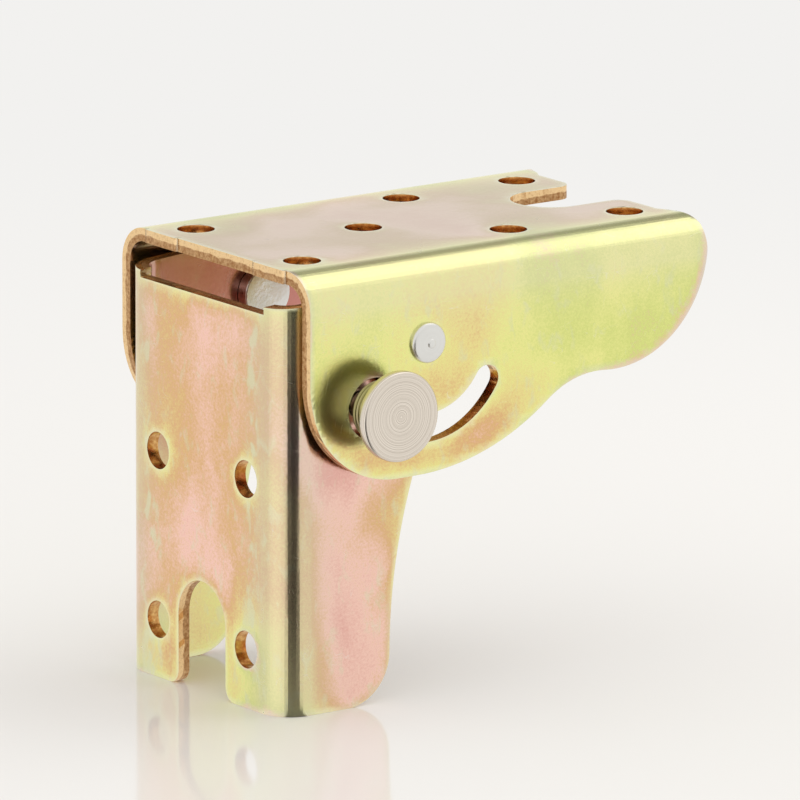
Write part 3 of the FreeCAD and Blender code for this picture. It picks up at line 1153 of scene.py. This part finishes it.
@dataclass
class LockPin(LathedPart):
    """Pull knob, barrel and shaft, turned in one piece, with tool rings on the knob's face."""

    node: str = "lock_pin"
    body: str = "lock"
    slot: str = "nickel"
    edge_mm: float = 0.4
    steps: int = 144
    barrel_mm: float = 8.7
    barrel_length_mm: float = 4.7
    shaft_mm: float = 3.9
    knob_height_mm: float = 1.6
    feed_pitch_mm: float = 0.7
    feed_depth_mm: float = 0.09
    feed_steps: int = 8
    ring_pitch_mm: float = 0.42
    ring_depth_mm: float = 0.003
    dish_mm: float = 0.15
    pip_mm: float = 0.35
    clip_groove_mm: float = 2.9
    clip_groove_from_mm: float = 2.0
    clip_groove_width_mm: float = 0.8
    tail_chamfer_mm: float = 0.5
    # Painted shade where the knob shades the pin: under the knob, on the collar and along the barrel.
    painted_shade_under_knob: float = 0.9
    painted_shade_on_collar: float = 0.63
    painted_shade_on_barrel: float = 0.36
    collar_mm: float = 0.4

    def profile(self) -> Outline:
        """The turned outline from the tail to the knob's face.

        Returns:
            (radius, distance towards the knob) points in millimetres.
        """
        low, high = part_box(self.node)
        tail = -high.y / MM
        face = -low.y / MM
        knob = (high.x - low.x) / 2.0 / MM
        shaft = self.shaft_mm / 2.0
        barrel = self.barrel_mm / 2.0
        groove = self.clip_groove_mm / 2.0
        groove_start = self.clip_groove_from_mm
        groove_end = groove_start + self.clip_groove_width_mm
        knob_start = face - self.knob_height_mm
        barrel_start = knob_start - self.barrel_length_mm
        chamfer = self.tail_chamfer_mm
        points = [(0.0, tail), (shaft - chamfer, tail), (shaft, tail + chamfer), (shaft, groove_start),
                  (groove, groove_start), (groove, groove_end), (shaft, groove_end), (shaft, barrel_start)]
        points += rounded(barrel, barrel_start, self.edge_mm)
        points += self.feed_grooves(barrel, barrel_start + self.edge_mm, knob_start)
        points += rounded(knob, knob_start, self.edge_mm * 0.7)
        points += [(knob, face - self.edge_mm), (knob - self.edge_mm * 0.35, face - self.edge_mm * 0.35),
                   (knob - self.edge_mm, face)]
        points += self.rings(knob - self.edge_mm * 1.3, face)
        return points

    def feed_grooves(self, barrel: float, start: float, end: float) -> Outline:
        """Shallow feed grooves that the turning tool left round the barrel.

        Args:
            barrel: the barrel's radius.
            start: where the grooves begin.
            end: where they end, at the knob's underside.

        Returns:
            Outline points from start to end.
        """
        count = int((end - start) / self.feed_pitch_mm) * self.feed_steps
        points = []
        for step in range(1, count + 1):
            wave = 0.5 - 0.5 * math.cos(2.0 * math.pi * step / self.feed_steps)
            points.append((barrel - self.feed_depth_mm * wave, start + (end - start) * step / count))
        return points

    def rings(self, reach: float, face: float) -> Outline:
        """Fine tool rings on the dished face, with a small pip in the middle.

        Args:
            reach: radius of the outermost ring.
            face: distance of the face's rim.

        Returns:
            Outline points from the rim to the middle.
        """
        count = int((reach - self.pip_mm) / self.ring_pitch_mm)
        points = []
        for step in range(count * 2 + 1):
            radius = reach - step * self.ring_pitch_mm / 2.0
            dish = self.dish_mm * (1.0 - radius / reach)
            ridge = self.ring_depth_mm if step % 2 else 0.0
            points.append((radius, face - dish - ridge))
        points.append((0.0, face - self.dish_mm + self.ring_depth_mm))
        return points

    def painted_shade(self, radius: float, distance: float) -> float:
        """Painted shade on the pin: most under the knob, less on the collar, least on barrel and shaft.

        Args:
            radius: distance from the axis, in millimetres.
            distance: distance from Y = 0, in millimetres.

        Returns:
            0 for no painted shade, 1 for the darkest.
        """
        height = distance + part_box(self.node)[0].y / MM + self.knob_height_mm
        if height > 0.01:
            return 0.0
        if radius > self.barrel_mm / 2.0 + 0.01:
            return self.painted_shade_under_knob
        return self.painted_shade_on_collar if height > -self.collar_mm else self.painted_shade_on_barrel


@dataclass
class PivotRivet(LathedPart):
    """One pivot rivet: flat head inside, shank, and a struck button with a pip outside."""

    body: str = "top"
    slot: str = "white_zinc"
    edge_mm: float = 0.25
    flat_mm: float = 8.0
    flat_height_mm: float = 2.0
    shank_mm: float = 4.5
    button_mm: float = 6.0
    button_edge_mm: float = 0.62
    crown_mm: float = 0.32
    pip_mm: float = 1.4
    pip_height_mm: float = 0.2

    def profile(self) -> Outline:
        """The turned outline from the flat head to the pip.

        Returns:
            (radius, distance from Y = 0) points in millimetres.
        """
        low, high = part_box(self.node)
        inner = min(abs(low.y), abs(high.y)) / MM
        outer = max(abs(low.y), abs(high.y)) / MM
        flat = self.flat_mm / 2.0
        shank = self.shank_mm / 2.0
        button = self.button_mm / 2.0
        pip = self.pip_mm / 2.0
        seat = inner + self.flat_height_mm
        crown = outer - self.pip_height_mm
        rim = crown - self.crown_mm
        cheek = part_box("top_bracket")[1].y / MM
        points = [(0.0, inner), (flat * 0.5, inner)]
        points += rounded(flat, inner, self.edge_mm)
        points += [(flat, seat), (shank, seat), (shank, cheek), (button, cheek)]
        edge = self.button_edge_mm
        for step in range(7):
            turn = math.pi / 2.0 * step / 6
            points.append((button - edge + edge * math.cos(turn), rim - edge + edge * math.sin(turn)))
        face = button - edge
        points += [(face + (pip - face) * share, rim + self.crown_mm * math.sin(share * math.pi / 2.0))
                   for share in (0.25, 0.5, 0.75, 1.0)]
        points += [(pip * 0.85, crown + self.pip_height_mm * 0.6), (pip * 0.55, outer), (0.0, outer)]
        return points


@dataclass
class LockSpring:
    """Compression spring on the pin, wound by geometry nodes."""

    turns: float = 4.0
    wire_mm: float = 0.8
    squeeze_mm: float = 2.5

    def tree(self, material: Material) -> GeometryNodeTree:
        """Builds the node tree that winds a spring along +Z.

        Args:
            material: the wire's finish.

        Returns:
            The tree, with inputs for the spring's sizes.
        """
        tree = bpy.data.node_groups.new("wound_spring", "GeometryNodeTree")
        graph = Graph(tree)
        for name in ("Turns", "Coil Radius", "Length", "Wire Radius"):
            tree.interface.new_socket(name, in_out="INPUT", socket_type="NodeSocketFloat")
        tree.interface.new_socket("Geometry", in_out="OUTPUT", socket_type="NodeSocketGeometry")
        sizes = graph.add("NodeGroupInput").outputs
        coil = graph.add("GeometryNodeCurveSpiral", {
            "Resolution": 48, "Rotations": sizes["Turns"], "Start Radius": sizes["Coil Radius"],
            "End Radius": sizes["Coil Radius"], "Height": sizes["Length"]})
        section = graph.add("GeometryNodeCurvePrimitiveCircle", {
            "Resolution": 14, "Radius": sizes["Wire Radius"]})
        wire = graph.add("GeometryNodeCurveToMesh", {
            "Curve": coil, "Profile Curve": section, "Fill Caps": True})
        smooth = graph.add("GeometryNodeSetShadeSmooth", {"Geometry": wire})
        whole = graph.add("GeometryNodeRealizeInstances", {"Geometry": smooth})
        painted = graph.add("GeometryNodeSetMaterial", {"Geometry": whole, "Material": material})
        graph.add("NodeGroupOutput", {"Geometry": painted})
        return tree

    def build(self, material: Material) -> Object:
        """Winds the spring and lays it along the pin.

        Args:
            material: the wire's finish.

        Returns:
            The spring's object.
        """
        low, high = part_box("lock_spring")
        wire = self.wire_mm * MM / 2.0
        coil = (high.x - low.x) / 2.0 - wire
        length = high.y - low.y - 2.0 * wire
        carrier = link("spring_carrier", bpy.data.meshes.new("spring_carrier"))
        winding = carrier.modifiers.new("winding", "NODES")
        winding.node_group = self.tree(material)
        values = {"Turns": self.turns, "Coil Radius": coil, "Length": length, "Wire Radius": wire}
        for socket in winding.node_group.interface.items_tree:
            if socket.in_out == "INPUT":
                winding[socket.identifier] = values[socket.name]
        evaluated = carrier.evaluated_get(bpy.context.evaluated_depsgraph_get())
        data = bpy.data.meshes.new_from_object(evaluated)
        bpy.data.objects.remove(carrier)
        middle = Vector(((low.x + high.x) / 2.0, high.y - wire, (low.z + high.z) / 2.0))
        data.transform(Matrix.Translation(middle) @ Matrix.Rotation(math.pi / 2.0, 4, "X"))
        data.name = "lock_spring_wound"
        return link("lock_spring_wound", data)

    def dress(self, piece: Object) -> None:
        """Seats the spring on the leg's body, hides its solid and gives it a mesh of its own.

        Args:
            piece: the spring's object.
        """
        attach(piece, "leg")
        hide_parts("lock_spring")
        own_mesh(piece)


@dataclass(frozen=True)
class CeilingSpot:
    """A lighter or darker place of the studio's ceiling, which only mirroring metal shows."""

    aim: Point
    core_deg: float
    edge_deg: float
    gain: float

    def add_to(self, graph: Graph, aim: NodeSocket, gain: object) -> Node:
        """Adds the spot to the ceiling's brightness.

        Args:
            graph: the world's graph.
            aim: direction of the ray.
            gain: the brightness so far, as a number or a node.

        Returns:
            The brightness with the spot.
        """
        facing = graph.add("ShaderNodeVectorMath", {0: aim, 1: Vector(self.aim).normalized()},
                           operation="DOT_PRODUCT").outputs["Value"]
        share = graph.add("ShaderNodeMapRange", {
            "Value": facing, "From Min": math.cos(math.radians(self.edge_deg)),
            "From Max": math.cos(math.radians(self.core_deg))}, interpolation_type="SMOOTHSTEP")
        return graph.add("ShaderNodeMath", {0: share, 1: self.gain, 2: gain}, operation="MULTIPLY_ADD")


@dataclass(frozen=True)
class FloorSector:
    """A lighter or darker sector of the floor round the leg's near bend, which only metal mirrors."""

    azimuth_deg: float
    half_deg: float
    soft_deg: float
    gain: float

    def add_to(self, graph: Graph, place: NodeSocket, gain: object) -> Node:
        """Adds the sector to the floor's brightness.

        Args:
            graph: the floor's graph.
            place: Object coordinates.
            gain: the brightness so far, as a number or a node.

        Returns:
            The brightness with the sector.
        """
        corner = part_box("leg_bracket")[0]
        bend = (corner.x + LEG_BEND_MM * MM, corner.y + LEG_BEND_MM * MM, 0.0)
        side = math.radians(self.azimuth_deg)
        from_bend = graph.add("ShaderNodeVectorMath", {0: place, 1: bend}, operation="SUBTRACT")
        flat = graph.add("ShaderNodeVectorMath", {0: from_bend, 1: (1.0, 1.0, 0.0)}, operation="MULTIPLY")
        aim = graph.add("ShaderNodeVectorMath", {0: flat}, operation="NORMALIZE")
        facing = graph.add("ShaderNodeVectorMath", {0: aim, 1: (math.cos(side), math.sin(side), 0.0)},
                           operation="DOT_PRODUCT").outputs["Value"]
        share = graph.add("ShaderNodeMapRange", {
            "Value": facing, "From Min": math.cos(math.radians(self.half_deg + self.soft_deg)),
            "From Max": math.cos(math.radians(self.half_deg))})
        return graph.add("ShaderNodeMath", {0: share, 1: self.gain, 2: gain}, operation="MULTIPLY_ADD")


@dataclass
class Studio:
    """Pale floor, soft light and the camera of the photograph."""

    azimuth_deg: float = -36.189
    elevation_deg: float = 13.068
    roll_deg: float = 0.149
    focal_px: float = 11664.0
    camera_mm: Point = (-982.69, -1340.61, 358.87)
    key_mm: Point = (480.0, -180.0, 640.0)
    key_side_mm: float = 640.0
    key_watts: float = 1.7
    ambient: float = 0.91
    backdrop: str = "F2F1EF"
    floor_colour: str = "FAF8F5"
    floor_side_mm: float = 6000.0
    fade_mm: tuple[float, float] = (100.0, 400.0)
    mirror_fade_mm: tuple[float, float] = (30.0, 100.0)
    mirror_share: float = 0.75
    mirror_gain: float = 0.10
    floor: tuple[FloorSector, ...] = (FloorSector(-170.0, 8.0, 26.0, 0.22),
                                      FloorSector(-115.0, 16.0, 6.0, -1.06))
    ceiling: tuple[CeilingSpot, ...] = (CeilingSpot((0.58, -0.03, 0.82), 6.0, 30.0, 0.55),
                                        CeilingSpot((0.55, 0.60, 0.57), 6.0, 21.0, -0.66))

    def build(self) -> None:
        """Makes the floor, the world, the lamp and the camera."""
        self.add_floor()
        self.add_world()
        self.add_key()
        self.add_camera()
        bpy.context.scene.view_settings.view_transform = "Standard"

    def add_floor(self) -> None:
        """Pale polished floor that fades into the backdrop away from the object."""
        half = self.floor_side_mm * MM / 2.0
        height = CAD_BOX[0].z - 0.02 * MM
        data = bpy.data.meshes.new("floor")
        corners = [(-half, -half, height), (half, -half, height), (half, half, height), (-half, half, height)]
        data.from_pydata(corners, [], [(0, 1, 2, 3)])
        floor = link("floor", data)
        material, graph = new_material("pale_polished_floor")
        place = graph.add("ShaderNodeTexCoord").outputs["Object"]
        flat = graph.add("ShaderNodeVectorMath", {0: place, 1: (1.0, 1.0, 0.0)}, operation="MULTIPLY")
        reach = graph.add("ShaderNodeVectorMath", {0: flat}, operation="LENGTH").outputs["Value"]
        seen = graph.add("ShaderNodeMapRange", {
            "Value": reach, "From Min": self.fade_mm[0] * MM, "From Max": self.fade_mm[1] * MM},
            interpolation_type="SMOOTHSTEP")
        mirrored = graph.add("ShaderNodeLightPath").outputs["Is Glossy Ray"]
        soon = graph.add("ShaderNodeMapRange", {
            "Value": reach, "From Min": self.mirror_fade_mm[0] * MM, "From Max": self.mirror_fade_mm[1] * MM,
            "To Min": self.mirror_share})
        early = graph.add("ShaderNodeMath", {0: soon, 1: mirrored}, operation="MULTIPLY")
        fade = graph.add("ShaderNodeMath", {0: seen, 1: early}, operation="MAXIMUM")
        near = graph.add("ShaderNodeBsdfPrincipled", {
            "Base Color": linear(self.floor_colour), "Roughness": 0.09, "Specular IOR Level": 0.45})
        gain = self.mirror_gain
        for sector in self.floor:
            gain = sector.add_to(graph, place, gain)
        level = graph.add("ShaderNodeMath", {0: mirrored, 1: gain, 2: 1.0}, operation="MULTIPLY_ADD")
        far = graph.add("ShaderNodeEmission", {"Color": linear(self.backdrop), "Strength": level})
        mixed = graph.add("ShaderNodeMixShader", {0: fade, 1: near, 2: far})
        graph.add("ShaderNodeOutputMaterial", {"Surface": mixed})
        data.materials.append(material)

    def add_world(self) -> None:
        """White surroundings for the eye and for reflections, with a calmer light level."""
        world = bpy.data.worlds.new("studio")
        bpy.context.scene.world = world
        world.use_nodes = True
        graph = Graph(world.node_tree)
        rays = graph.add("ShaderNodeLightPath").outputs
        seen = graph.add("ShaderNodeMath", {0: rays["Is Camera Ray"], 1: rays["Is Glossy Ray"]},
                         operation="MAXIMUM")
        seen = graph.add("ShaderNodeMath", {0: seen, 1: rays["Is Transmission Ray"]}, operation="MAXIMUM")
        aim = graph.add("ShaderNodeTexCoord").outputs["Generated"]
        gain = self.mirror_gain
        for spot in self.ceiling:
            gain = spot.add_to(graph, aim, gain)
        level = graph.add("ShaderNodeMath", {0: rays["Is Glossy Ray"], 1: gain, 2: 1.0},
                          operation="MULTIPLY_ADD")
        shown = graph.add("ShaderNodeBackground", {"Color": linear(self.backdrop), "Strength": level})
        light = graph.add("ShaderNodeBackground", {"Color": linear(self.backdrop), "Strength": self.ambient})
        mixed = graph.add("ShaderNodeMixShader", {0: seen, 1: light, 2: shown})
        graph.add("ShaderNodeOutputWorld", {"Surface": mixed})

    def add_key(self) -> None:
        """Wide soft lamp for the shadows, aimed at the bracket's middle."""
        data = bpy.data.lights.new("key_softbox", "AREA")
        data.size = self.key_side_mm * MM
        data.energy = self.key_watts
        lamp = link("key_softbox", data)
        place = Vector(self.key_mm) * MM
        aim = (CAD_BOX[0] + CAD_BOX[1]) / 2.0 - place
        lamp.matrix_world = Matrix.Translation(place) @ aim.to_track_quat("-Z", "Y").to_matrix().to_4x4()
        lamp.visible_camera = False
        lamp.visible_glossy = False

    def add_camera(self) -> None:
        """Camera of the photograph: far away, with a long lens."""
        azimuth, elevation, roll = (math.radians(value) for value in
                                    (self.azimuth_deg, self.elevation_deg, self.roll_deg))
        ahead = Vector((-math.sin(azimuth) * math.cos(elevation), math.cos(azimuth) * math.cos(elevation),
                        -math.sin(elevation)))
        level = ahead.cross(Vector((0.0, 0.0, 1.0))).normalized()
        upright = level.cross(ahead)
        right = level * math.cos(roll) + upright * math.sin(roll)
        up = right.cross(ahead)
        data = bpy.data.cameras.new("photo_camera")
        data.sensor_width = SENSOR_MM
        data.lens = self.focal_px * SENSOR_MM / PHOTO_SIDE_PX
        data.clip_start = 0.05
        data.clip_end = 50.0
        camera = link("photo_camera", data)
        turn = Matrix((right, up, -ahead)).transposed().to_4x4()
        camera.matrix_world = Matrix.Translation(Vector(self.camera_mm) * MM) @ turn
        bpy.context.scene.camera = camera


def main() -> None:
    """Builds and dresses every piece, then the studio."""
    logging.basicConfig(level=logging.INFO, format="%(message)s")
    sheet = {Skin.PLATED: PlatedSheet().make(), Skin.CUT: ShearedEdge().make(), Skin.HOLE: HOLE_WALL.make()}
    nickel = NICKEL.make()
    rivet_zinc = RIVET_ZINC.make()
    zinc = CLEAR_ZINC.make()
    wire = SPRING_WIRE.make()
    parts = (
        (TopChannel(), sheet),
        (LegChannel(), sheet),
        (PivotRivet("knob_side_rivet", side=-1.0), rivet_zinc),
        (PivotRivet("far_side_rivet", side=1.0), rivet_zinc),
        (SmallPart("knob_side_spacer", "top", "white_zinc"), zinc),
        (SmallPart("far_side_spacer", "top", "white_zinc"), zinc),
        (SmallPart("spring_washer", "lock", "white_zinc"), zinc),
        (SmallPart("retaining_clip", "lock", "spring_steel"), wire),
        (LockPin(), nickel),
    )
    for part, finish in parts:
        piece = part.build()
        part.dress(piece, finish)
        LOG.info("%s: %d faces", piece.name, len(piece.data.polygons))
    spring = LockSpring()
    coil = spring.build(wire)
    spring.dress(coil)
    LOG.info("%s: %d faces", coil.name, len(coil.data.polygons))
    Studio().build()


if __name__ == "__main__":
    main()
